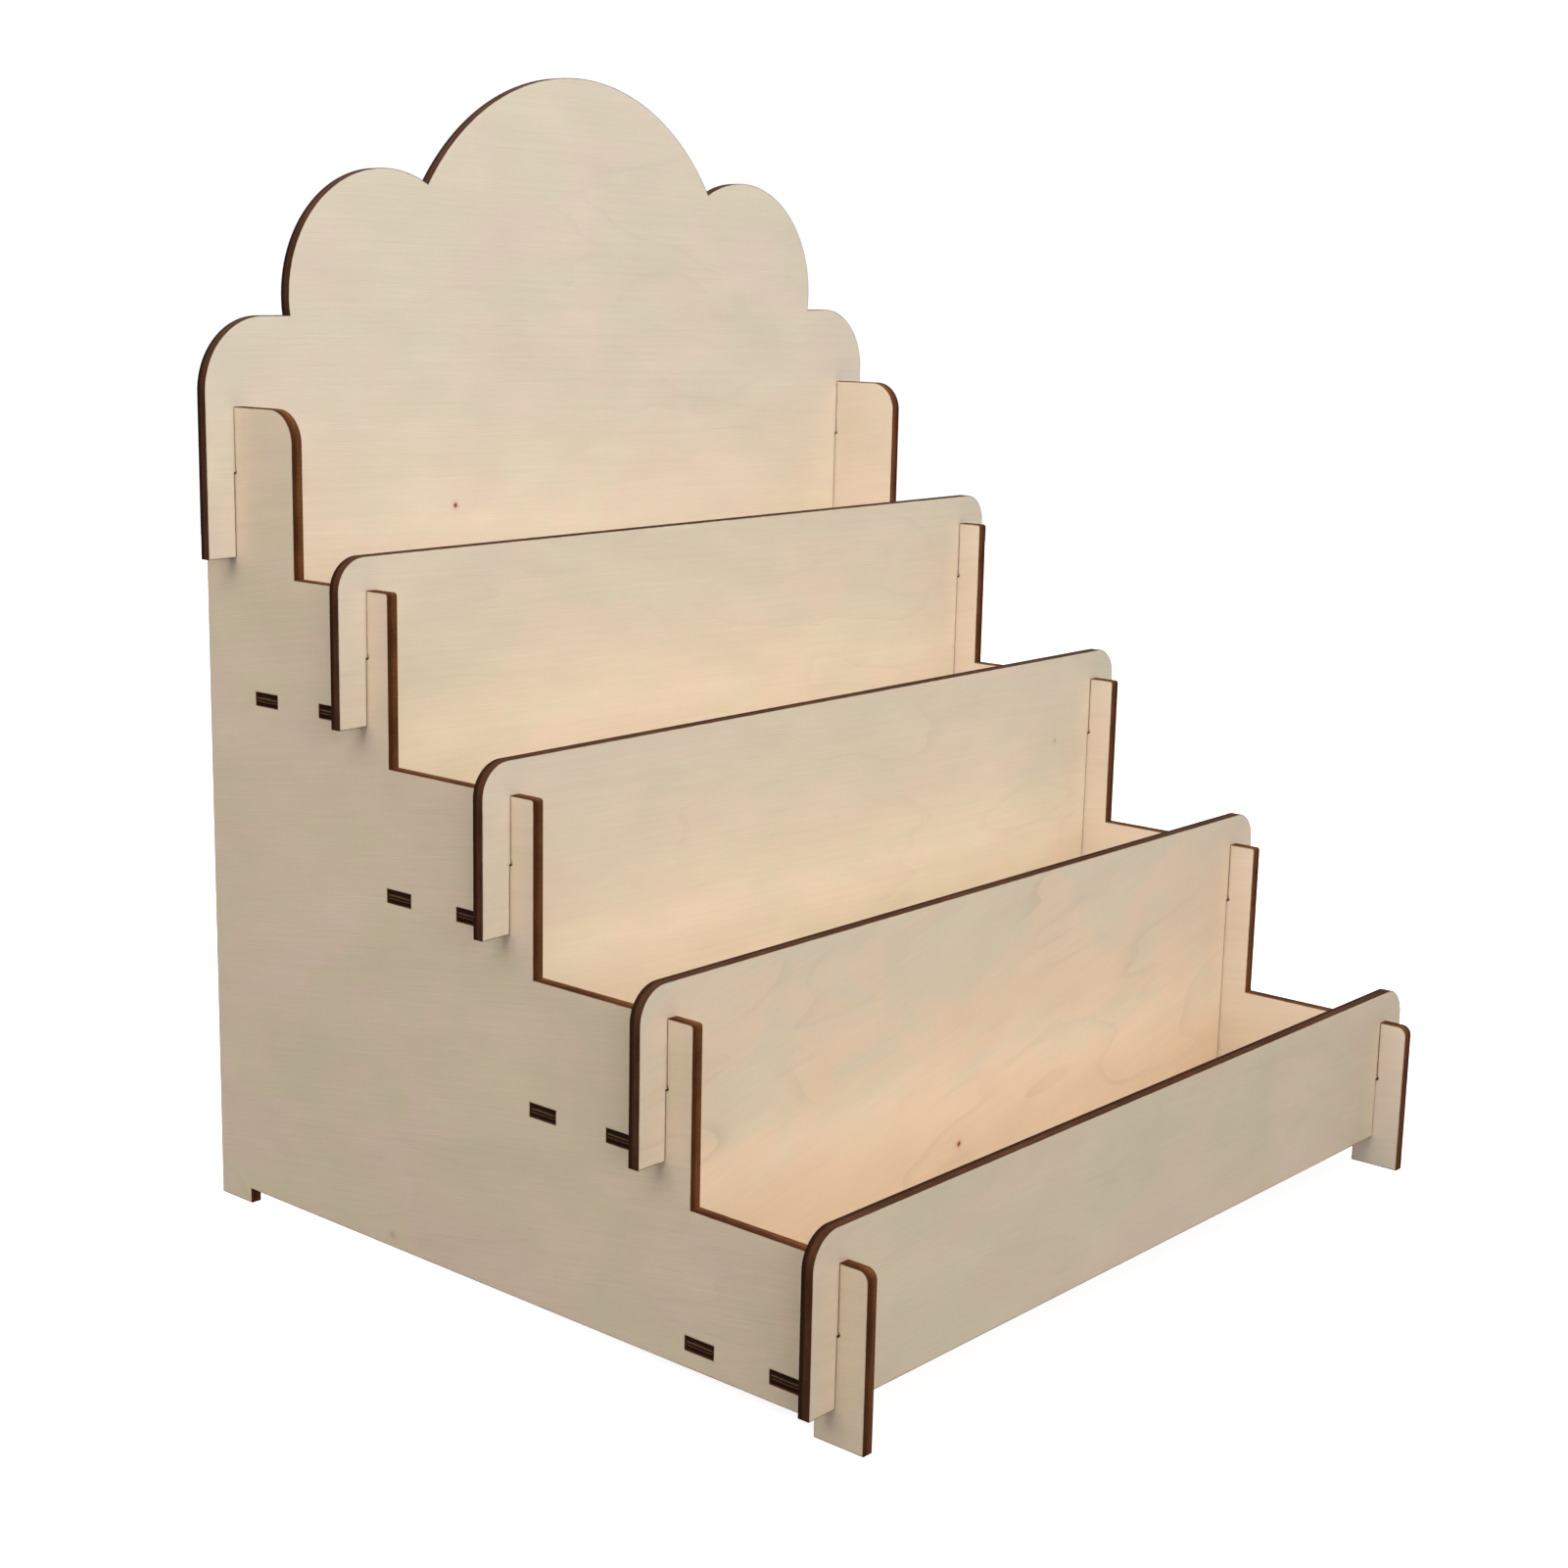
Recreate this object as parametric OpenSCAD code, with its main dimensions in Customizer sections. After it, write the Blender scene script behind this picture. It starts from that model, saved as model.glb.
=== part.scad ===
// Four-tier paint rack of slotted sheet panels.
// Frame: +X right, -Y front, +Z up. Origin: centre of the footprint, on the surface the feet stand on.

/* [Sheet] */
// Thickness of every panel
sheet_t = 3; // [2:0.5:6]
// Free play between a panel and each side of its slot
play = 0.1; // [0.05:0.05:0.4]
// Radius of the small burnt-out relief at the end of each side slot
relief_r = 0.45; // [0.3:0.05:1.2]

/* [Overall size] */
// Width across the outside of the two side panels
body_w = 234; // [190:1:360]
// How far each cross panel stands out past a side panel
wing = 8.5; // [4:0.5:20]
// Distance from one tier to the next, front to back
tier_pitch = 48; // [36:1:80]
// Rise from one tier to the next
tier_rise = 41; // [32:1:70]
// Height of the lowest step of the side panels
step_h = 40; // [36:1:70]

/* [Side panels] */
// Height of the rear post above the top step
post_rise = 40; // [20:1:70]
// Depth of the rear post in front of the back panel
post_d = 22; // [16:0.5:40]
// Corner radius at the top of the rear post
post_r = 8; // [2:0.5:9]
// How far the sides run on behind the back panel
rear_strip = 9; // [6:0.5:20]
// How far each step runs on in front of its cross panel
nose = 7.5; // [4:0.5:16]
// Corner radius at the front of the three upper steps
nose_r = 0.8; // [0.2:0.1:3]
// Corner radius at the front of the lowest step
front_nose_r = 2.4; // [0.4:0.1:5]
// Height of the gap under the side panels, between the feet
foot_h = 3.8; // [1:0.1:7]
// Length of the front foot
front_foot = 13; // [6:0.5:40]
// Length of the rear foot
rear_foot = 12; // [6:0.5:40]

/* [Cross panels] */
// Height of a cross panel above the step it is slotted into
lip_h = 8; // [4:0.5:20]
// Depth of the side slot below the step
side_slot_h = 16; // [8:0.5:22]
// Corner radius at the top of the cross panels
lip_r = 8; // [2:0.5:14]

/* [Shelves] */
// Height of a step above the top of its shelf
tray_h = 29; // [18:0.5:32]
// Length of a shelf tab along the side panel
tab_l = 8; // [5:0.5:14]
// Distance of a tab from the front and rear edge of its shelf
tab_inset = 6.5; // [4:0.5:10]
// How far a tab end stays below the outer face of the side
tab_recess = 0.4; // [0:0.1:1.5]

/* [Cloud top] */
// Height of the wings' lower edge below the top of the rear post
back_wing_drop = 36.5; // [20:0.5:60]
// Height of the shoulders above the top of the rear post
shoulder_h = 21.5; // [10:0.5:40]
// Corner radius of the shoulders
shoulder_r = 18; // [6:0.5:24]
// Radius of the big middle lobe
mid_lobe_r = 64; // [40:0.5:80]
// Height of the middle lobe's centre above the rear post
mid_lobe_h = 19; // [0:0.5:40]
// Radius of the two outer lobes
side_lobe_r = 31.5; // [16:0.5:45]
// Height of the outer lobes' centres above the rear post
side_lobe_h = 26; // [10:0.5:40]
// Distance of the outer lobes' centres from the middle
side_lobe_x = 68; // [40:0.5:90]

/* [Hidden] */
tiers = 4;
$fn = 96;
over = 1;

panel_w = body_w + 2 * wing;
side_d = rear_strip + sheet_t + tiers * tier_pitch + nose;
y_rear = side_d / 2;
y_back = y_rear - rear_strip - sheet_t;
post_top = step_h + (tiers - 1) * tier_rise + post_rise;
inner_half = body_w / 2 - sheet_t - play;
slot_w = sheet_t + 2 * play;
back_wing_z = post_top - back_wing_drop;

veneer = [0.86, 0.77, 0.64];
veneer_side = [0.79, 0.71, 0.58];
veneer_shelf = [0.83, 0.73, 0.59];

// Level of step k, with 1 the highest and 4 the lowest
function step_z(k) = step_h + (tiers - k) * tier_rise;
// Underside of shelf k, which is also the lower edge of the wings of cross panel k
function shelf_z(k) = step_z(k) - tray_h - sheet_t;
// Front face of cross panel k, with 0 the back panel
function face_y(k) = y_back - k * tier_pitch;

// Part to show: all, or one of the names above

// ---------- shared outlines ----------

// Block from x0 to x1 and 0 to h, with its upper corner at x0 rounded
module nosed_block(x0, x1, h, r) {
    translate([x0 + r, 0]) square([x1 - x0 - r, h]);
    translate([x0, 0]) square([r + over, h - r]);
    translate([x0 + r, h - r]) circle(r);
}

// Block centred on x, from z0 to z1, with both upper corners rounded
module lipped_block(w, z0, z1, r) {
    translate([-w / 2, z0]) square([w, z1 - z0 - r]);
    translate([-w / 2 + r, z0]) square([w - 2 * r, z1 - z0]);
    for (s = [-1, 1])
        translate([s * (w / 2 - r), z1 - r]) circle(r);
}

// Two slots, open at the wings' lower edge, that straddle the side panels
module side_notches(z0, h) {
    for (s = [-1, 1])
        translate([s * (body_w - sheet_t) / 2 - slot_w / 2, z0 - over])
            square([slot_w, h + over]);
}

// ---------- side panels ----------

// Stepped outline, drawn with the front towards -x
module steps_outline() {
    nosed_block(y_back - post_d, y_rear - post_r, post_top, post_r);
    translate([y_rear - post_r, 0]) square([post_r, post_top - post_r]);
    translate([y_rear - post_r, post_top - post_r]) circle(post_r);
    for (k = [1 : tiers])
        nosed_block(face_y(k) - nose, y_back, step_z(k), k == tiers ? front_nose_r : nose_r);
}

// Slot from above for a cross panel, with a relief at its front lower corner
module panel_slot(y_front, z_top) {
    z_end = z_top - side_slot_h;
    translate([y_front - play, z_end]) square([slot_w, side_slot_h + over]);
    translate([y_front - play, z_end + relief_r]) circle(relief_r, $fn = 24);
}

// The two slots for the tabs of shelf k
module tab_slots(k) {
    h = sheet_t + 2 * play;
    for (d = [tab_inset, tier_pitch - sheet_t - tab_inset - tab_l])
        translate([face_y(k - 1) - d - tab_l - play, shelf_z(k) - play])
            square([tab_l + 2 * play, h]);
}

module side_outline() {
    difference() {
        steps_outline();
        panel_slot(y_back, post_top);
        for (k = [1 : tiers]) {
            panel_slot(face_y(k), step_z(k));
            tab_slots(k);
        }
        translate([-y_rear + front_foot, -over])
            square([side_d - front_foot - rear_foot, foot_h + over]);
    }
}

module side_panel(x) {
    translate([x, 0, 0])
        rotate([90, 0, 90])
            linear_extrude(height = sheet_t)
                side_outline();
}

module side_left() {
    color(veneer_side) side_panel(-body_w / 2);
}

module side_right() {
    color(veneer_side) side_panel(body_w / 2 - sheet_t);
}

// ---------- cross panels ----------

// Stands a flat outline up, with its front face at y
module stand_up(y) {
    translate([0, y + sheet_t, 0])
        rotate([90, 0, 0])
            linear_extrude(height = sheet_t)
                children();
}

// Cross panel k reaches down to the underside of the shelf in front of it
module divider(k) {
    stand_up(face_y(k))
        difference() {
            union() {
                lipped_block(panel_w, shelf_z(k), step_z(k) + lip_h, lip_r);
                translate([-inner_half, shelf_z(k + 1)])
                    square([2 * inner_half, shelf_z(k) - shelf_z(k + 1) + over]);
            }
            side_notches(shelf_z(k), step_z(k) - side_slot_h + play - shelf_z(k));
        }
}

module divider_1() {
    color(veneer) divider(1);
}

module divider_2() {
    color(veneer) divider(2);
}

module divider_3() {
    color(veneer) divider(3);
}

module front_panel() {
    color(veneer)
        stand_up(face_y(tiers))
            difference() {
                lipped_block(panel_w, shelf_z(tiers), step_z(tiers) + lip_h, lip_r);
                side_notches(shelf_z(tiers),
                             step_z(tiers) - side_slot_h + play - shelf_z(tiers));
            }
}

module cloud() {
    translate([0, post_top + mid_lobe_h]) circle(mid_lobe_r, $fn = 240);
    for (s = [-1, 1])
        translate([s * side_lobe_x, post_top + side_lobe_h]) circle(side_lobe_r, $fn = 160);
}

module back_panel() {
    color(veneer)
        stand_up(y_back)
            difference() {
                union() {
                    lipped_block(panel_w, back_wing_z, post_top + shoulder_h, shoulder_r);
                    cloud();
                    translate([-inner_half, shelf_z(1)])
                        square([2 * inner_half, back_wing_z - shelf_z(1) + over]);
                }
                side_notches(back_wing_z, back_wing_drop - side_slot_h + play);
            }
}

// ---------- shelves ----------

// Shelf k lies between cross panel k - 1 and cross panel k
module shelf(k) {
    y_hi = face_y(k - 1) - play;
    y_lo = face_y(k) + sheet_t + play;
    reach = body_w / 2 - tab_recess;
    translate([0, 0, shelf_z(k)])
        linear_extrude(height = sheet_t) {
            translate([-inner_half, y_lo]) square([2 * inner_half, y_hi - y_lo]);
            for (d = [tab_inset, tier_pitch - sheet_t - tab_inset - tab_l])
                translate([-reach, face_y(k - 1) - d - tab_l])
                    square([2 * reach, tab_l]);
        }
}

module shelf_1() {
    color(veneer_shelf) shelf(1);
}

module shelf_2() {
    color(veneer_shelf) shelf(2);
}

module shelf_3() {
    color(veneer_shelf) shelf(3);
}

module shelf_4() {
    color(veneer_shelf) shelf(4);
}

side_left();
side_right();
back_panel();
divider_1();
divider_2();
divider_3();
front_panel();
shelf_1();
shelf_2();
shelf_3();
shelf_4();
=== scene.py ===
"""Looks of the four-tier paint rack: slotted three-ply panels with charred laser-cut edges.

Every panel of the frame is replaced by a panel of the same size whose rims are rounded, whose
cut edges have their own charred ply material, and whose broad faces carry a veneer of their own.
Lengths are millimetres, as in the part's source, until a mesh is made; the scene is in metres.
"""

import math

import bpy
from mathutils import Matrix, Vector
from mathutils.geometry import delaunay_2d_cdt


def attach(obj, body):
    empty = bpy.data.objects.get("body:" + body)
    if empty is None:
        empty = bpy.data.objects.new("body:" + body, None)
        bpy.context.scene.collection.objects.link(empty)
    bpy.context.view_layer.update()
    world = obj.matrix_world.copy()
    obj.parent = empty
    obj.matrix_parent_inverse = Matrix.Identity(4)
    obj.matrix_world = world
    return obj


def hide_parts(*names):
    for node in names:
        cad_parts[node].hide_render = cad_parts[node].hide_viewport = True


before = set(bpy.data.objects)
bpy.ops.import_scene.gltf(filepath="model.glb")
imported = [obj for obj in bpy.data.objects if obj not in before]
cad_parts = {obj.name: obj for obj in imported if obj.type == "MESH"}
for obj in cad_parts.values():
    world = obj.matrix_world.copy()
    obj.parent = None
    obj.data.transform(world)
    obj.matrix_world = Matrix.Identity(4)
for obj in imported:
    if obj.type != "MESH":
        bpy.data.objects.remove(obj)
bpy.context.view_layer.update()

MM = 0.001

# Sizes of the part's source
SHEET = 3.0
PLAY = 0.1
RELIEF_R = 0.45
BODY_W = 234.0
WING = 8.5
TIER_PITCH = 48.0
TIER_RISE = 41.0
STEP_H = 40.0
POST_RISE = 40.0
POST_D = 22.0
POST_R = 8.0
REAR_STRIP = 9.0
NOSE = 7.5
NOSE_R = 0.8
FRONT_NOSE_R = 2.4
FOOT_H = 3.8
FRONT_FOOT = 13.0
REAR_FOOT = 12.0
LIP_H = 8.0
SIDE_SLOT_H = 16.0
LIP_R = 8.0
TRAY_H = 29.0
TAB_L = 8.0
TAB_INSET = 6.5
TAB_RECESS = 0.4
BACK_WING_DROP = 36.5
SHOULDER_H = 21.5
SHOULDER_R = 18.0
MID_LOBE_R = 64.0
MID_LOBE_H = 19.0
SIDE_LOBE_R = 31.5
SIDE_LOBE_H = 26.0
SIDE_LOBE_X = 68.0
TIERS = 4

PANEL_HALF = BODY_W / 2 + WING
Y_REAR = (REAR_STRIP + SHEET + TIERS * TIER_PITCH + NOSE) / 2
Y_BACK = Y_REAR - REAR_STRIP - SHEET
POST_TOP = STEP_H + (TIERS - 1) * TIER_RISE + POST_RISE
INNER_HALF = BODY_W / 2 - SHEET - PLAY
SIDE_MID = (BODY_W - SHEET) / 2
SLOT_HALF = SHEET / 2 + PLAY

# Shape of the rims
RIM = 0.14
RIM_MID = 0.3 * RIM
SCORCH = 0.6
SMOOTH_ANGLE = math.radians(32)
WELD = 1e-6

# Angles between the points of an arc, in degrees
FINE_STEP, CLOUD_STEP, SHOULDER_STEP, CORNER_STEP, NOSE_STEP, RELIEF_STEP = 1.5, 2, 3, 5, 15, 22.5


def step_z(k):
    return STEP_H + (TIERS - k) * TIER_RISE


def shelf_z(k):
    return step_z(k) - TRAY_H - SHEET


def face_y(k):
    return Y_BACK - k * TIER_PITCH


# ---------- outlines, as loops of points that keep the material on their left ----------


def arc(centre, radius, start, end, step=CORNER_STEP):
    """Points on an arc from one angle to another, in degrees, both ends included."""
    count = max(2, math.ceil(abs(end - start) / step))
    angles = [math.radians(start + (end - start) * i / count) for i in range(count + 1)]
    a, b = centre
    return [(a + radius * math.cos(t), b + radius * math.sin(t)) for t in angles]


def slot_from_above(y_front, z_top):
    """Walk down and up a panel slot from its rear side, round the relief at its front corner."""
    z_end = z_top - SIDE_SLOT_H
    rear = y_front + SHEET + PLAY
    front = y_front - PLAY
    relief = arc((front, z_end + RELIEF_R), RELIEF_R, 270, 90, RELIEF_STEP)
    return [(rear, z_top), (rear, z_end), *relief, (front, z_top)]


def side_loops():
    """Outer loop of a side panel in (y, z), then its eight tab slots."""
    loop = [
        (-Y_REAR, 0),
        (-Y_REAR + FRONT_FOOT, 0),
        (-Y_REAR + FRONT_FOOT, FOOT_H),
        (Y_REAR - REAR_FOOT, FOOT_H),
        (Y_REAR - REAR_FOOT, 0),
        (Y_REAR, 0),
    ]
    loop += arc((Y_REAR - POST_R, POST_TOP - POST_R), POST_R, 0, 90)
    loop += slot_from_above(Y_BACK, POST_TOP)
    loop += arc((Y_BACK - POST_D + POST_R, POST_TOP - POST_R), POST_R, 90, 180)
    for k in range(1, TIERS + 1):
        r = FRONT_NOSE_R if k == TIERS else NOSE_R
        loop.append((loop[-1][0], step_z(k)))
        loop += slot_from_above(face_y(k), step_z(k))
        loop += arc((face_y(k) - NOSE + r, step_z(k) - r), r, 90, 180, NOSE_STEP)
    return [loop] + [tab_slot(k, d) for k in range(1, TIERS + 1) for d in tab_offsets()]


def tab_offsets():
    """Distances from a shelf's rear edge to the rear ends of its tabs."""
    return (TAB_INSET, TIER_PITCH - SHEET - TAB_INSET - TAB_L)


def tab_slot(k, d):
    y_hi = face_y(k - 1) - d + PLAY
    y_lo = y_hi - TAB_L - 2 * PLAY
    z_lo = shelf_z(k) - PLAY
    z_hi = z_lo + SHEET + 2 * PLAY
    return [(y_lo, z_lo), (y_lo, z_hi), (y_hi, z_hi), (y_hi, z_lo)]


def mirrored(right_half):
    """Whole loop from the points of its right half, which run from the bottom to the top."""
    return right_half + [(-x, z) for x, z in reversed(right_half) if x > WELD]


def wing_points(z_wing, slot_top):
    """Right half's lower edge, from the notch's inner side out to the end of the wing."""
    return [
        (SIDE_MID - SLOT_HALF, slot_top),
        (SIDE_MID + SLOT_HALF, slot_top),
        (SIDE_MID + SLOT_HALF, z_wing),
        (PANEL_HALF, z_wing),
    ]


def cross_loop(k, z_low):
    """Cross panel k, whose part between the side panels reaches down to z_low."""
    z_wing = shelf_z(k)
    z_top = step_z(k) + LIP_H
    half = [(INNER_HALF, z_low)]
    if z_low < z_wing:
        half += [(INNER_HALF, z_wing), (SIDE_MID - SLOT_HALF, z_wing)]
    else:
        half = [(SIDE_MID - SLOT_HALF, z_wing)]
    half += wing_points(z_wing, step_z(k) - SIDE_SLOT_H + PLAY)
    half += arc((PANEL_HALF - LIP_R, z_top - LIP_R), LIP_R, 0, 90)
    return mirrored(half)


def meeting_angle(centre, radius, other, other_radius):
    """Angle on the first circle, in degrees, of the higher of its two crossings with the other."""
    dx = other[0] - centre[0]
    dy = other[1] - centre[1]
    gap = math.hypot(dx, dy)
    reach = (radius**2 - other_radius**2 + gap**2) / (2 * gap)
    turn = math.acos(reach / radius)
    base = math.atan2(dy, dx)
    return math.degrees(max(base + turn, base - turn, key=math.sin)) % 360


def back_loop():
    """Back panel with its shoulders and the three lobes of the cloud."""
    z_wing = POST_TOP - BACK_WING_DROP
    z_low = shelf_z(1)
    z_shoulder = POST_TOP + SHOULDER_H
    lobe = (SIDE_LOBE_X, POST_TOP + SIDE_LOBE_H)
    middle = (0.0, POST_TOP + MID_LOBE_H)
    low = math.degrees(math.asin((z_shoulder - lobe[1]) / SIDE_LOBE_R))
    high = meeting_angle(lobe, SIDE_LOBE_R, middle, MID_LOBE_R)
    joint = meeting_angle(middle, MID_LOBE_R, lobe, SIDE_LOBE_R)
    half = [(INNER_HALF, z_low), (INNER_HALF, z_wing), (SIDE_MID - SLOT_HALF, z_wing)]
    half += wing_points(z_wing, POST_TOP - SIDE_SLOT_H + PLAY)
    shoulder = (PANEL_HALF - SHOULDER_R, z_shoulder - SHOULDER_R)
    half += arc(shoulder, SHOULDER_R, 0, 90, SHOULDER_STEP)
    half += arc(lobe, SIDE_LOBE_R, low, high, CLOUD_STEP)
    half += arc(middle, MID_LOBE_R, joint, 90, FINE_STEP)[1:]
    return mirrored(half)


def shelf_loop(k):
    """Shelf k in (x, y), with two tabs at each end."""
    y_hi = face_y(k - 1) - PLAY
    y_lo = face_y(k) + SHEET + PLAY
    reach = BODY_W / 2 - TAB_RECESS
    half = [(INNER_HALF, y_lo)]
    for d in reversed(tab_offsets()):
        rear = face_y(k - 1) - d
        half += [(INNER_HALF, rear - TAB_L), (reach, rear - TAB_L), (reach, rear), (INNER_HALF, rear)]
    half.append((INNER_HALF, y_hi))
    return mirrored(half)


# ---------- meshes ----------


def cleaned(loop):
    """Loop without points that repeat the one before them."""
    kept = [p for p, q in zip(loop, loop[-1:] + loop[:-1]) if math.dist(p, q) > WELD]
    return [Vector(p) for p in kept]


def inset(loop, distance):
    """Loop moved into the material by a distance, with mitred corners."""
    moved = []
    count = len(loop)
    for i in range(count):
        before = (loop[i] - loop[i - 1]).normalized()
        after = (loop[(i + 1) % count] - loop[i]).normalized()
        left = Vector((-before.y, before.x)) + Vector((-after.y, after.x))
        moved.append(loop[i] + left * (distance / (1 + before.dot(after))))
    return moved


def lengths_along(loop):
    """Distance round the loop of each point, and of the first point again at the end."""
    total = [0.0]
    for p, q in zip(loop, loop[1:] + loop[:1]):
        total.append(total[-1] + (q - p).length)
    return total


def filled(rings):
    """Triangles between the innermost rings, as indices into their joined list of points. The
    first ring is the outline; the others are holes with no corner that turns inwards."""
    points = [p for ring in rings for p in ring]
    edges = []
    owner = []
    for n, ring in enumerate(rings):
        first = len(edges)
        edges += [(first + i, first + (i + 1) % len(ring)) for i in range(len(ring))]
        owner += [n] * len(ring)
    found = delaunay_2d_cdt(points, edges, [], 1, WELD)
    source = [origin[0] for origin in found[3]]
    triangles = [[source[i] for i in triangle] for triangle in found[2]]
    return [t for t in triangles if owner[t[0]] == 0 or len({owner[i] for i in t}) > 1]


def rim_profile():
    """Rings from one broad face round the rim to the other: inset, depth, scorch."""
    front = [(SCORCH, 0, 0.0), (RIM, 0, 1.0), (RIM_MID, RIM_MID, 1.0), (0, RIM, 1.0)]
    back = [(i, SHEET - d, s) for i, d, s in reversed(front)]
    return front + back


def axis_vector(axis):
    return Vector([1.0 if i == axis else 0.0 for i in range(3)])


def placed(p, axes, third, height):
    """Point of an outline, in metres, at a height along the third axis."""
    place = [0.0, 0.0, 0.0]
    place[axes[0]] = p.x * MM
    place[axes[1]] = p.y * MM
    place[third] = height * MM
    return place


def rim_faces(loops, rings, profile):
    """Faces between each ring and the next. Each has a mark: 1 for the cut edge's material or 0
    for the broad faces', and each corner's length along the loop and depth."""
    faces = []
    marks = []
    for r in range(len(profile) - 1):
        edge = 1 if 0 < r < len(profile) - 2 else 0
        near, far = profile[r][1], profile[r + 1][1]
        for n, loop in enumerate(loops):
            a, b = rings[r][n], rings[r + 1][n]
            along = lengths_along(loop)
            for i in range(len(loop)):
                j = (i + 1) % len(loop)
                start, end = along[i], along[i + 1]
                faces.append([a + i, b + i, b + j, a + j])
                marks.append((edge, [(start, near), (start, far), (end, far), (end, near)]))
    return faces, marks


def broad_faces(loops, rings):
    """Triangles of the two broad faces, inside the first and the last ring, and their marks."""
    triangles = filled([inset(loop, SCORCH) for loop in loops])
    near = [[rings[0][0] + i for i in triangle] for triangle in triangles]
    far = [[rings[-1][0] + i for i in reversed(triangle)] for triangle in triangles]
    return near + far, [(0, [(0.0, 0.0)] * 3)] * (len(near) + len(far))


def panel(name, loops, axes, near, facing):
    """Mesh of one panel. axes are the outline's two axes; near is the place of its front face
    along the third; facing is 1 or -1, the way from there out of the sheet."""
    loops = [cleaned(loop) for loop in loops]
    third = 3 - axes[0] - axes[1]
    profile = rim_profile()
    verts = []
    scorch = []
    rings = []
    for inset_by, depth, burn in profile:
        starts = []
        for loop in loops:
            starts.append(len(verts))
            points = inset(loop, inset_by)
            verts += [placed(p, axes, third, near - facing * depth) for p in points]
            scorch += [burn] * len(points)
        rings.append(starts)
    faces, marks = rim_faces(loops, rings, profile)
    more_faces, more_marks = broad_faces(loops, rings)
    faces += more_faces
    marks += more_marks
    if axis_vector(axes[0]).cross(axis_vector(axes[1])).dot(axis_vector(third)) * facing < 0:
        faces = [face[::-1] for face in faces]
        marks = [(edge, corners[::-1]) for edge, corners in marks]
    return finished_mesh(name, verts, faces, marks, scorch)


def finished_mesh(name, verts, faces, marks, scorch):
    """Object with the mesh, its two materials' faces and the attributes that they read."""
    mesh = bpy.data.meshes.new(name)
    mesh.from_pydata(verts, [], faces)
    mesh.polygons.foreach_set("material_index", [edge for edge, corner in marks])
    burn = mesh.attributes.new("scorch", "FLOAT", "POINT")
    burn.data.foreach_set("value", scorch)
    corners = [c for edge, corner in marks for c in corner]
    for title, part, scale in (("along", 0, MM), ("depth", 1, 1 / SHEET)):
        values = mesh.attributes.new(title, "FLOAT", "CORNER")
        values.data.foreach_set("value", [c[part] * scale for c in corners])
    mesh.shade_smooth()
    mesh.set_sharp_from_angle(angle=SMOOTH_ANGLE)
    mesh.validate()
    made = bpy.data.objects.new(name, mesh)
    bpy.context.scene.collection.objects.link(made)
    return made


# ---------- material nodes ----------


def srgb(r, g, b):
    """Colour with alpha, from values of 0 to 255 as a picture stores them."""
    linear = []
    for value in (r, g, b):
        v = value / 255
        linear.append(v / 12.92 if v <= 0.04045 else ((v + 0.055) / 1.055) ** 2.4)
    return (*linear, 1.0)


# Lengths of the noises along the grain, across it and through the sheet, in millimetres
ISLAND_GRAIN = (34, 22, 3)
CLOUD_GRAIN = (26, 13, 2)
STREAK_GRAIN = (60, 1.2, 2)
FIBRE_GRAIN = (9, 0.22, 2)
RAGGED_GRAIN = (3, 3, 3)
SWELL_GRAIN = (130, 40, 4)
PATCH_GRAIN = (80, 50, 5)

# How far each noise swings a veneer's tone
CLOUD_SWING = 0.16
STREAK_SWING = 0.10
FIBRE_SWING = 0.08

# Growth lines: distance between them, and how many of them a swell moves them by
LINE_PITCH = 60.0
SWELL_LINES = 9.0

# Heat stain beside a cut
BURN_CURVE = 2.2
BURN_SHARE = 0.6
BURN_TINT = srgb(112, 70, 40)

VENEER_BUMP = 0.05 * MM
VENEER_SPECULAR = 0.35

KNOT_RING = srgb(196, 136, 96)
KNOT_CORE = srgb(138, 62, 32)

# Cut edges: lengths of the noises along the edge and through the sheet, in millimetres
EDGE_PATCH = (14, 5, 1)
EDGE_STROKES = (0.28, 5, 1)
EDGE_WANDER = 0.3
EDGE_BUMP = 0.08 * MM
EDGE_SPECULAR = 0.05


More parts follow.
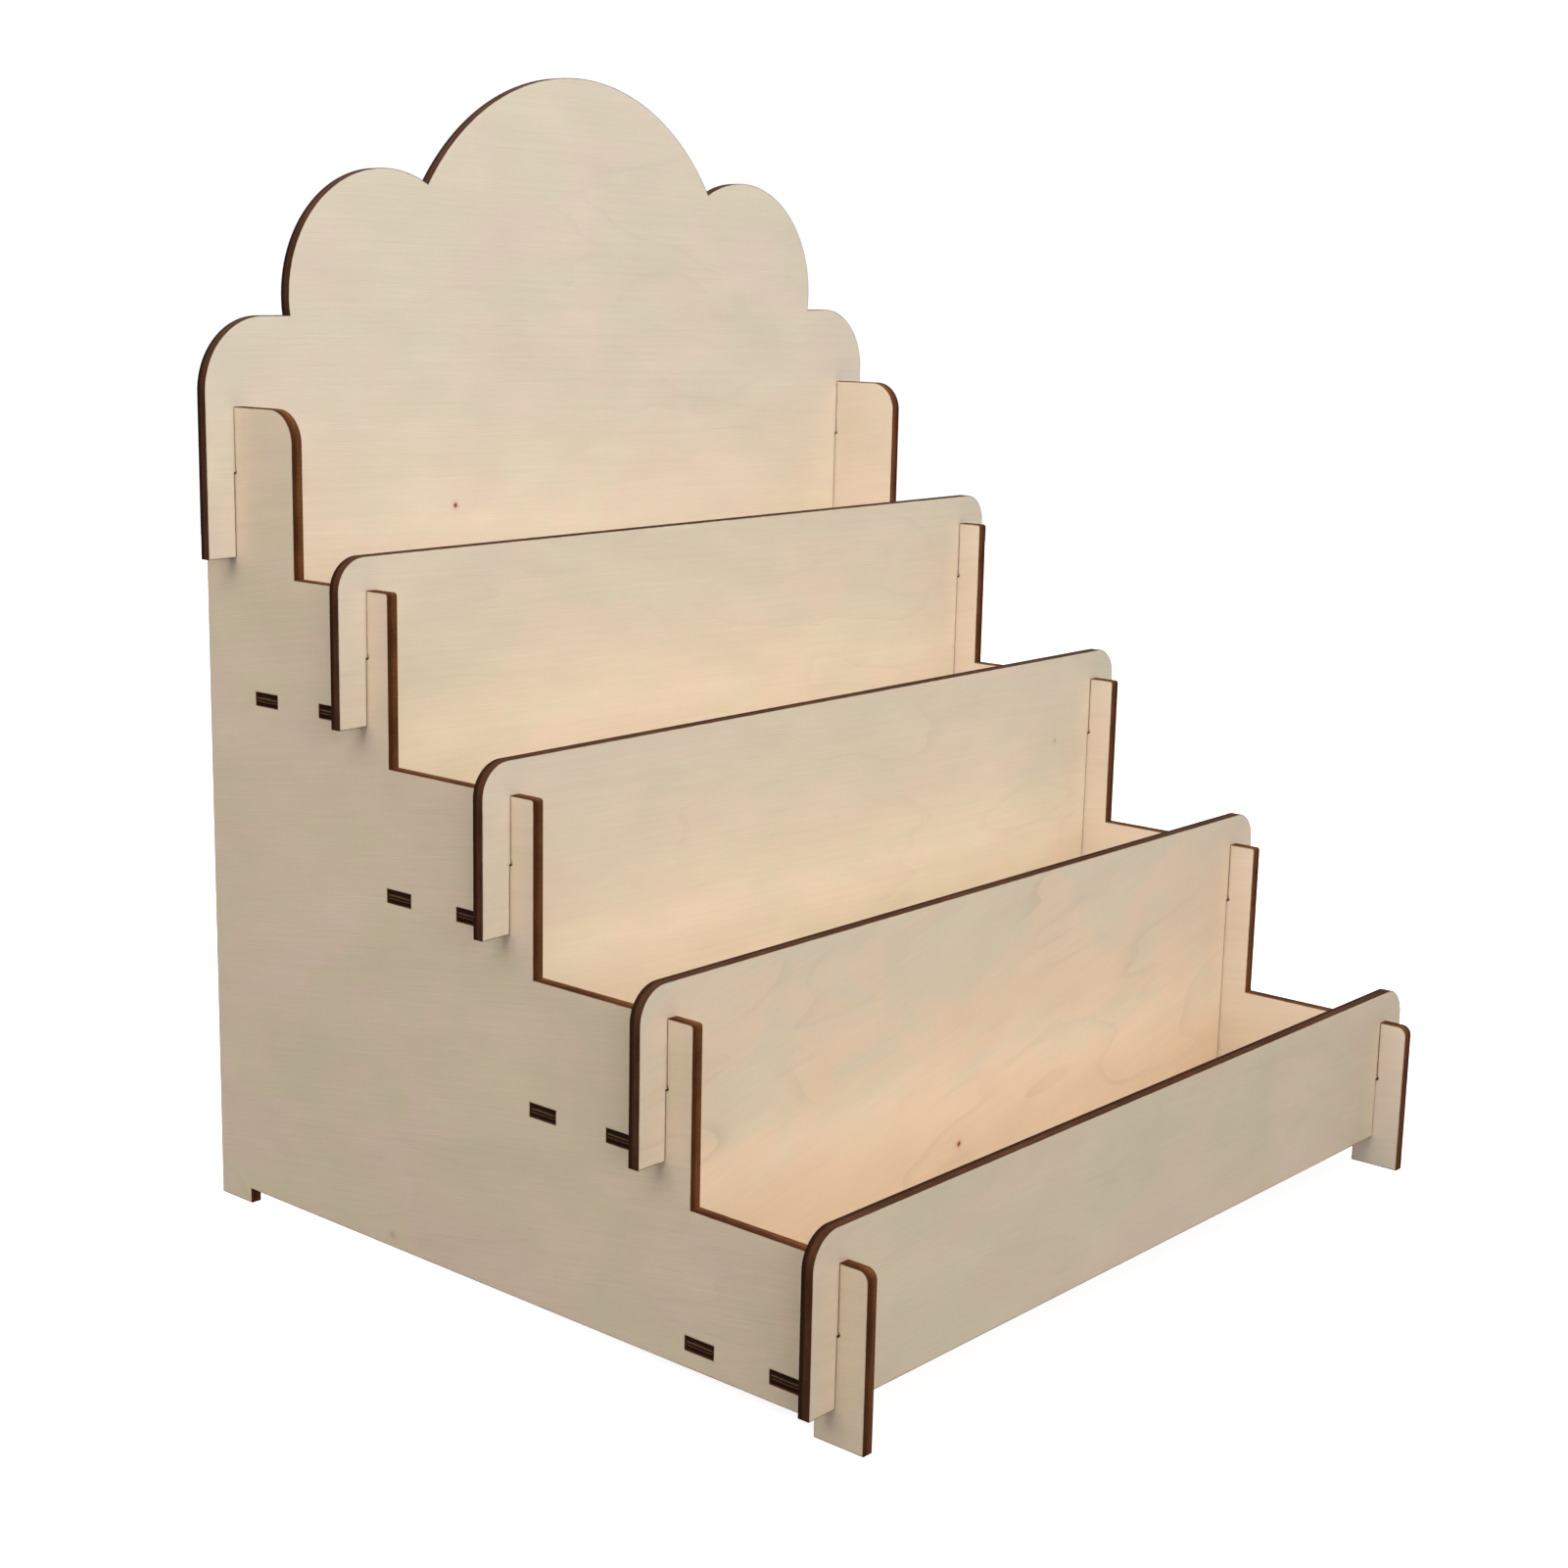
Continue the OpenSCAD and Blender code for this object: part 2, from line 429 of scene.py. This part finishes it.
class Nodes:
    """A new material's node tree, with short calls for the nodes used here."""

    def __init__(self, name):
        self.material = bpy.data.materials.new(name)
        self.material.use_nodes = True
        self.tree = self.material.node_tree
        self.tree.nodes.clear()

    def add(self, kind, inputs, out=0, **settings):
        made = self.tree.nodes.new("ShaderNode" + kind)
        for name, value in settings.items():
            setattr(made, name, value)
        for socket, value in inputs.items():
            if isinstance(value, bpy.types.NodeSocket):
                self.tree.links.new(value, made.inputs[socket])
            else:
                made.inputs[socket].default_value = value
        return made.outputs[out]

    def math(self, operation, a, b=0.0, c=0.0, clamp=False):
        inputs = {0: a, 1: b, 2: c}
        return self.add("Math", inputs, operation=operation, use_clamp=clamp)

    def attribute(self, name):
        return self.add("Attribute", {}, out="Fac", attribute_name=name)

    def noise(self, vector, detail=2.0, roughness=0.5, distortion=0.0):
        inputs = {
            "Vector": vector,
            "Scale": 1.0,
            "Detail": detail,
            "Roughness": roughness,
            "Distortion": distortion,
        }
        return self.add("TexNoise", inputs)

    def stretched(self, vector, *lengths):
        """Vector in units of the given lengths in millimetres, for noise of that grain."""
        scale = [1 / (length * MM) for length in lengths]
        return self.add("Mapping", {"Vector": vector, "Scale": scale})

    def spread(self, value, low, high, start=0.0, end=1.0, smooth=True):
        """Value from low to high, as start to end."""
        inputs = {"Value": value, "From Min": low, "From Max": high, "To Min": start, "To Max": end}
        kind = "SMOOTHSTEP" if smooth else "LINEAR"
        return self.add("MapRange", inputs, interpolation_type=kind)

    def swung(self, tone, value, share):
        """Tone moved up and down by half a share each way, as the value goes from 0 to 1."""
        return self.math("MULTIPLY_ADD", value, share, self.math("SUBTRACT", tone, share / 2))

    def mixed(self, factor, a, b):
        return self.add("Mix", {0: factor, 6: a, 7: b}, out=2, data_type="RGBA")

    def scaled(self, colour, by):
        return self.add("VectorMath", {0: colour, "Scale": by}, operation="SCALE")

    def finish(self, colour, roughness, height, depth, specular):
        bump = self.add("Bump", {"Height": height, "Distance": depth, "Strength": 1.0})
        inputs = {
            "Base Color": colour,
            "Roughness": roughness,
            "Normal": bump,
            "Specular IOR Level": specular,
        }
        shader = self.add("BsdfPrincipled", inputs)
        end = self.tree.nodes.new("ShaderNodeOutputMaterial")
        self.tree.links.new(shader, end.inputs["Surface"])
        return self.material


def grain_space(nodes, axes, shift, slant):
    """Object coordinates turned to (along the grain, across it, through the sheet)."""
    place = nodes.add("TexCoord", {}, out="Object")
    split = nodes.add("SeparateXYZ", {"Vector": place}).node
    third = 3 - axes[0] - axes[1]
    order = (axes[0], axes[1], third)
    joined = nodes.add("CombineXYZ", {i: split.outputs[axis] for i, axis in enumerate(order)})
    turn = {"Vector": joined, "Location": shift, "Rotation": (0, 0, slant)}
    return nodes.add("Mapping", turn), place


def island_mask(nodes, grain, height, sheet):
    """Where the veneer has its cooler tint."""
    mask = nodes.noise(nodes.stretched(grain, *ISLAND_GRAIN), 4.0, 0.55, 0.7)
    mask = nodes.spread(mask, 0.5 - sheet["blend"], 0.5 + sheet["blend"])
    if sheet["plain_below"]:
        edge = sheet["plain_below"] * MM
        mask = nodes.math("MULTIPLY", mask, nodes.spread(height, edge * 0.7, edge * 1.3))
    return mask


def heat_stain(nodes, grain, colour):
    """Colour with the ragged brown stain that the laser leaves beside a cut."""
    burn = nodes.math("POWER", nodes.attribute("scorch"), BURN_CURVE)
    ragged = nodes.noise(nodes.stretched(grain, *RAGGED_GRAIN))
    burn = nodes.math("MULTIPLY", burn, nodes.spread(ragged, 0.3, 0.7, 0.35, 1.0))
    return nodes.mixed(nodes.math("MULTIPLY", burn, BURN_SHARE), colour, BURN_TINT)


def veneer(name, sheet, axes, shift, slant=0.0, painted_shade=None, spots=()):
    """Pale rotary-cut veneer: islands of a cooler tint, faint growth figure, streaks and fibres.
    sheet is what wood() returns. The optional height and tone after the slant paint shade onto the
    sheet, making it darker towards the bottom: the height in millimetres where it is palest, and its
    tone at height 0. Each spot is a knot's place, radius and strength."""
    nodes = Nodes(name)
    grain, place = grain_space(nodes, axes, shift, slant)
    height = nodes.add("SeparateXYZ", {"Vector": place}, out="Z")
    streak = nodes.noise(nodes.stretched(grain, *STREAK_GRAIN), 3.0, 0.6, 0.15)
    fibre = nodes.noise(nodes.stretched(grain, *FIBRE_GRAIN), 2.0, 0.6)
    cloudy = nodes.noise(nodes.stretched(grain, *CLOUD_GRAIN), 2.0, 0.5)
    tone = nodes.swung(1.0, cloudy, CLOUD_SWING)
    tone = nodes.swung(tone, streak, STREAK_SWING)
    tone = nodes.swung(tone, fibre, FIBRE_SWING)
    tone = nodes.math("MULTIPLY_ADD", growth_lines(nodes, grain), -sheet["figure"], tone)
    # Painted shade: the tone falls from full at the given height to the given share at height 0.
    if painted_shade:
        tone = nodes.math("MULTIPLY", tone, nodes.spread(height, 0, painted_shade[0] * MM, painted_shade[1], 1.0))
    mask = island_mask(nodes, grain, height, sheet)
    colour = nodes.scaled(nodes.mixed(mask, sheet["warm"], sheet["cool"]), tone)
    for spot, radius, strength in spots:
        colour = knot(nodes, colour, place, spot, radius, strength)
    colour = heat_stain(nodes, grain, colour)
    roughness = nodes.spread(streak, 0.25, 0.75, 0.52, 0.66)
    relief = nodes.math("MULTIPLY_ADD", streak, 0.6, fibre)
    return nodes.finish(colour, roughness, relief, VENEER_BUMP, VENEER_SPECULAR)


def growth_lines(nodes, grain):
    """Soft contour lines of a slow height field: the waves of rotary-cut wood."""
    swell = nodes.noise(nodes.stretched(grain, *SWELL_GRAIN), 2.5, 0.5, 0.2)
    across = nodes.add("SeparateXYZ", {"Vector": grain}, out="Y")
    phase = nodes.math("MULTIPLY", across, 1 / (LINE_PITCH * MM))
    phase = nodes.math("MULTIPLY_ADD", swell, SWELL_LINES, phase)
    line = nodes.spread(nodes.math("FRACT", phase), 0.7, 1.0)
    patch = nodes.spread(nodes.noise(nodes.stretched(grain, *PATCH_GRAIN)), 0.42, 0.65)
    return nodes.math("MULTIPLY", line, patch)


def knot(nodes, colour, place, spot, radius, strength):
    """Small round mark: a dark middle in a warm ring."""
    centre = [value * MM for value in spot]
    away = nodes.add("VectorMath", {0: place, 1: centre}, out="Value", operation="DISTANCE")
    ring = nodes.spread(away, radius * 2.4 * MM, 0, 0.0, 0.45 * strength)
    colour = nodes.mixed(ring, colour, KNOT_RING)
    core = nodes.spread(away, radius * MM, radius * 0.35 * MM, 0.0, strength)
    return nodes.mixed(core, colour, KNOT_CORE)


def cut_edge(name, front, rear, pale, stripes):
    """Laser-charred edge, from the tint beside the panel's near face to the tint beside its far
    one, which are a cross panel's front and rear, a side's outer and inner, a shelf's top and base.
    Each stripe is the depth where ply shows through in the pale tint, its half width, and how
    clearly it shows. Depths and widths are shares of the sheet's thickness."""
    nodes = Nodes(name)
    along = nodes.attribute("along")
    depth = nodes.attribute("depth")
    place = nodes.add("CombineXYZ", {0: along, 1: nodes.math("MULTIPLY", depth, SHEET * MM)})
    patch = nodes.noise(nodes.stretched(place, *EDGE_PATCH), 3.0, 0.6)
    strokes = nodes.noise(nodes.stretched(place, *EDGE_STROKES), 2.0, 0.6)
    wander = nodes.swung(depth, patch, EDGE_WANDER)
    colour = nodes.mixed(nodes.spread(wander, 0.35, 0.7), front, rear)
    for middle, width, strength in stripes:
        away = nodes.math("ABSOLUTE", nodes.math("SUBTRACT", wander, middle))
        stripe = nodes.spread(away, width, width * 0.4, 0.0, strength)
        colour = nodes.mixed(stripe, colour, pale)
    tone = nodes.spread(patch, 0.25, 0.75, 0.7, 1.3)
    tone = nodes.math("MULTIPLY", tone, nodes.spread(strokes, 0.2, 0.8, 0.82, 1.18))
    colour = nodes.scaled(colour, tone)
    roughness = nodes.spread(strokes, 0.2, 0.8, 0.75, 0.9)
    return nodes.finish(colour, roughness, strokes, EDGE_BUMP, EDGE_SPECULAR)


# ---------- pieces ----------

# From one panel's place in the veneer to the next one's, in metres
VENEER_STEP = (0.37, 0.11, 0.05)

# The two axes of each kind of panel
FRONT, SIDE, TOP = (0, 2), (1, 2), (0, 1)

# Turns of the grain, in radians
LEVEL_GRAIN = 0.02
DIAGONAL_GRAIN = -0.2
SIDE_GRAIN = 0.16


def wood(warm, cool, blend, figure, plain_below=None):
    """A panel's two tints, how softly its cool islands blend, how dark its growth lines are, and
    the height in millimetres below which it has no islands."""
    tints = {"warm": srgb(*warm), "cool": srgb(*cool)}
    return {**tints, "blend": blend, "figure": figure, "plain_below": plain_below}


CREAM = wood((236, 219, 200), (232, 221, 198), 0.16, 0.035)
HONEY = wood((235, 217, 195), (230, 218, 193), 0.14, 0.04)
ISLANDS = wood((236, 215, 190), (228, 216, 192), 0.09, 0.09, 38)
STONE = wood((230, 208, 184), (225, 209, 180), 0.16, 0.03)
SAND = wood((232, 208, 185), (226, 209, 178), 0.14, 0.04)
AMBER = wood((227, 208, 189), (224, 209, 187), 0.14, 0.03)
TRAY = wood((243, 227, 214), (240, 228, 210), 0.14, 0.03)

CROSS_EDGE = cut_edge(
    "cross_edge",
    srgb(72, 44, 27),
    srgb(40, 23, 13),
    srgb(84, 52, 34),
    ((0.5, 0.2, 0.4),),
)
SIDE_EDGE = cut_edge(
    "side_edge",
    srgb(75, 42, 21),
    srgb(103, 64, 37),
    srgb(102, 62, 36),
    ((0.5, 0.2, 0.3),),
)
SHELF_EDGE = cut_edge(
    "shelf_edge",
    srgb(44, 26, 17),
    srgb(38, 22, 14),
    srgb(118, 88, 60),
    ((0.42, 0.09, 0.9), (0.68, 0.07, 0.6)),
)

# Marks in the veneer: place in millimetres, radius in millimetres, strength
BACK_PIN = ((-44.7, Y_BACK, 174.8), 0.85, 1.0)
DIVIDER_PIN = ((-9.6, face_y(3), 25.3), 0.95, 1.0)
DIVIDER_MARK = ((97.2, face_y(2), 106.1), 0.9, 0.25)
SIDE_MARK = ((-BODY_W / 2, 38.8, 6.9), 1.3, 0.25)


def dress(piece, node, broad, edge):
    piece.data.materials.append(broad)
    piece.data.materials.append(edge)
    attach(piece, "root")
    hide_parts(node)
    return piece


def shifted(n):
    """A place of its own in the veneer for each panel."""
    return [step * n for step in VENEER_STEP]


def make_cross(node, n, loop, near, sheet, slant=LEVEL_GRAIN, spots=()):
    piece = panel(node + "_ply", [loop], FRONT, near, -1)
    broad = veneer(node + "_veneer", sheet, FRONT, shifted(n), slant, None, spots)
    return dress(piece, node, broad, CROSS_EDGE)


# The height and tone given after the sheet paint shade onto the veneer, darker towards the bottom.
def make_side(node, n, facing, sheet, painted_shade, spots=()):
    piece = panel(node + "_ply", side_loops(), SIDE, facing * BODY_W / 2, facing)
    broad = veneer(node + "_veneer", sheet, SIDE, shifted(n), SIDE_GRAIN, painted_shade, spots)
    return dress(piece, node, broad, SIDE_EDGE)


def make_shelf(k):
    node = f"shelf_{k}"
    piece = panel(node + "_ply", [shelf_loop(k)], TOP, shelf_z(k) + SHEET, 1)
    broad = veneer(node + "_veneer", TRAY, TOP, shifted(10 + k))
    return dress(piece, node, broad, SHELF_EDGE)


def make_divider(k, sheet, slant, spots):
    outline = cross_loop(k, shelf_z(k + 1))
    return make_cross(f"divider_{k}", 3 + k, outline, face_y(k), sheet, slant, spots)


# The left side's veneer carries painted shade: it darkens to 0.92 of its tone towards the bottom.
make_side("side_left", 1, -1, SAND, (POST_TOP, 0.92), [SIDE_MARK])
make_side("side_right", 2, 1, AMBER, None)
make_cross("back_panel", 3, back_loop(), Y_BACK, CREAM, spots=[BACK_PIN])
make_divider(1, HONEY, LEVEL_GRAIN, [])
make_divider(2, HONEY, LEVEL_GRAIN, [DIVIDER_MARK])
make_divider(3, ISLANDS, DIAGONAL_GRAIN, [DIVIDER_PIN])
make_cross("front_panel", 7, cross_loop(TIERS, shelf_z(TIERS)), face_y(TIERS), STONE)
for tier in range(1, TIERS + 1):
    make_shelf(tier)


# ---------- floor, light, camera ----------

STAGE_RADIUS = 10.0
STAGE_SIDES = 96
DOME_RINGS = 24
FLOOR_RADII = (0.25, 0.5, 1.0, 2.0, 4.0, STAGE_RADIUS)
FLOOR_DIFFUSE, FLOOR_GLOW = 0.6, 0.8
AIM = Vector((0, 0, 0.14))
GROUND_LIGHT = 0.213
GROUND_FADE = (-0.15, -0.02)
ZENITH_LIGHT = 0.794


def stage_material(name, diffuse, glow):
    nodes = Nodes(name)
    place = nodes.add("TexCoord", {}, out="Object")
    grain = nodes.noise(nodes.stretched(place, 3, 3, 3), 2.0, 0.5)
    tone = nodes.spread(grain, 0.2, 0.8, diffuse * 0.99, diffuse)
    colour = nodes.add("CombineXYZ", {0: tone, 1: tone, 2: tone})
    made = nodes.finish(colour, 0.8, grain, 0.00002, 0.2)
    shader = next(n for n in nodes.tree.nodes if n.type == "BSDF_PRINCIPLED")
    shader.inputs["Emission Color"].default_value = (1, 1, 1, 1)
    shader.inputs["Emission Strength"].default_value = glow
    made.cycles.emission_sampling = "NONE"
    return made


def stage_piece(name, verts, faces, material):
    mesh = bpy.data.meshes.new(name)
    mesh.from_pydata(verts, [], faces)
    mesh.materials.append(material)
    made = bpy.data.objects.new(name, mesh)
    bpy.context.scene.collection.objects.link(made)
    made.visible_diffuse = False
    made.visible_shadow = False
    return made


def circle(radius, z):
    turns = [2 * math.pi * i / STAGE_SIDES for i in range(STAGE_SIDES)]
    return [(radius * math.cos(t), radius * math.sin(t), z) for t in turns]


def make_floor():
    """Round pale floor, in rings."""
    verts = [(0, 0, 0)]
    for radius in FLOOR_RADII:
        verts += circle(radius, 0)
    n = STAGE_SIDES
    faces = [(0, 1 + i, 1 + (i + 1) % n) for i in range(n)]
    for r in range(len(FLOOR_RADII) - 1):
        a, b = 1 + r * n, 1 + (r + 1) * n
        faces += [(a + i, b + i, b + (i + 1) % n, a + (i + 1) % n) for i in range(n)]
    stage_piece("floor", verts, faces, stage_material("floor_pale", FLOOR_DIFFUSE, FLOOR_GLOW))


def make_backdrop():
    """White dome round the floor. It lights nothing: the world and the lamps shine through it."""
    verts = []
    for h in range(DOME_RINGS):
        lift = math.pi / 2 * h / DOME_RINGS
        verts += circle(STAGE_RADIUS * math.cos(lift), STAGE_RADIUS * math.sin(lift))
    verts.append((0, 0, STAGE_RADIUS))
    n = STAGE_SIDES
    faces = []
    for h in range(DOME_RINGS - 1):
        a, b = h * n, (h + 1) * n
        faces += [(a + i, b + i, b + (i + 1) % n, a + (i + 1) % n) for i in range(n)]
    top = (DOME_RINGS - 1) * n
    faces += [(top + i, DOME_RINGS * n, top + (i + 1) % n) for i in range(n)]
    dome = stage_piece("backdrop", verts, faces, stage_material("backdrop_white", 0.0, 1.0))
    dome.visible_glossy = False


def soft_light(name, place, width, height, power):
    data = bpy.data.lights.new(name, "AREA")
    data.shape = "RECTANGLE"
    data.size = width
    data.size_y = height
    data.energy = power
    lamp = bpy.data.objects.new(name, data)
    bpy.context.scene.collection.objects.link(lamp)
    lamp.location = place
    lamp.rotation_euler = (AIM - Vector(place)).to_track_quat("-Z", "Y").to_euler()


def make_world():
    """White light that is strongest from straight above, and an even light from below."""
    world = bpy.data.worlds.new("studio")
    world.use_nodes = True
    tree = world.node_tree
    place = tree.nodes.new("ShaderNodeTexCoord")
    split = tree.nodes.new("ShaderNodeSeparateXYZ")
    ground = tree.nodes.new("ShaderNodeMapRange")
    for title, value in zip(("From Min", "From Max"), GROUND_FADE):
        ground.inputs[title].default_value = value
    ground.inputs["To Min"].default_value = GROUND_LIGHT
    ground.inputs["To Max"].default_value = 0
    height = tree.nodes.new("ShaderNodeMath")
    height.operation = "MAXIMUM"
    height.inputs[1].default_value = 0
    square = tree.nodes.new("ShaderNodeMath")
    square.operation = "POWER"
    square.inputs[1].default_value = 2
    total = tree.nodes.new("ShaderNodeMath")
    total.operation = "MULTIPLY_ADD"
    total.inputs[1].default_value = ZENITH_LIGHT
    background = tree.nodes["Background"]
    background.inputs["Color"].default_value = (1, 1, 1, 1)
    for source, target in (
        (place.outputs["Generated"], split.inputs["Vector"]),
        (split.outputs["Z"], ground.inputs["Value"]),
        (split.outputs["Z"], height.inputs[0]),
        (height.outputs[0], square.inputs[0]),
        (square.outputs[0], total.inputs[0]),
        (ground.outputs["Result"], total.inputs[2]),
        (total.outputs[0], background.inputs["Strength"]),
    ):
        tree.links.new(source, target)
    bpy.context.scene.world = world


CAMERA_PLACE = (-0.4902, -0.3914, 0.2370)
CAMERA_TURNS = (-46.56, 11.77, 0.51)
CAMERA_LENS = 57.08
CAMERA_SHIFT = 0.1


def make_camera():
    """Camera from its place and its azimuth, elevation and roll, in degrees."""
    azimuth, elevation, roll = (math.radians(turn) for turn in CAMERA_TURNS)
    ahead = Vector((-math.sin(azimuth), math.cos(azimuth), 0)) * math.cos(elevation)
    ahead.z = -math.sin(elevation)
    level = Vector((math.cos(azimuth), math.sin(azimuth), 0))
    upward = level.cross(ahead)
    right = level * math.cos(roll) + upward * math.sin(roll)
    upward = right.cross(ahead)
    data = bpy.data.cameras.new("camera")
    data.sensor_width = 36
    data.lens = CAMERA_LENS
    data.shift_x = CAMERA_SHIFT
    data.clip_start = 0.01
    data.clip_end = 50
    camera = bpy.data.objects.new("camera", data)
    bpy.context.scene.collection.objects.link(camera)
    camera.matrix_world = (
        Matrix.Translation(CAMERA_PLACE)
        @ Matrix((right, upward, -ahead)).transposed().to_4x4()
    )
    bpy.context.scene.camera = camera


# Each lamp's place, width, height and power in watts
LAMPS = {
    "front_left": ((-0.7, -1.2, 0.5), 0.8, 0.6, 7.49),
    "left": ((-1.0, -0.1, 0.9), 0.8, 0.8, 5.27),
    "right": ((1.2, -0.5, 0.6), 0.8, 0.8, 2.78),
    "top": ((-0.05, -0.2, 0.85), 0.7, 0.7, 3.41),
    "top_back": ((0.0, 0.5, 0.9), 0.8, 0.5, 5.42),
    "behind": ((1.1, 1.1, 0.3), 0.9, 0.6, 6.0),
}

make_floor()
make_backdrop()
make_world()
for title, (spot, width, height, power) in LAMPS.items():
    soft_light(title, spot, width, height, power)
make_camera()
bpy.context.scene.view_settings.view_transform = "Standard"
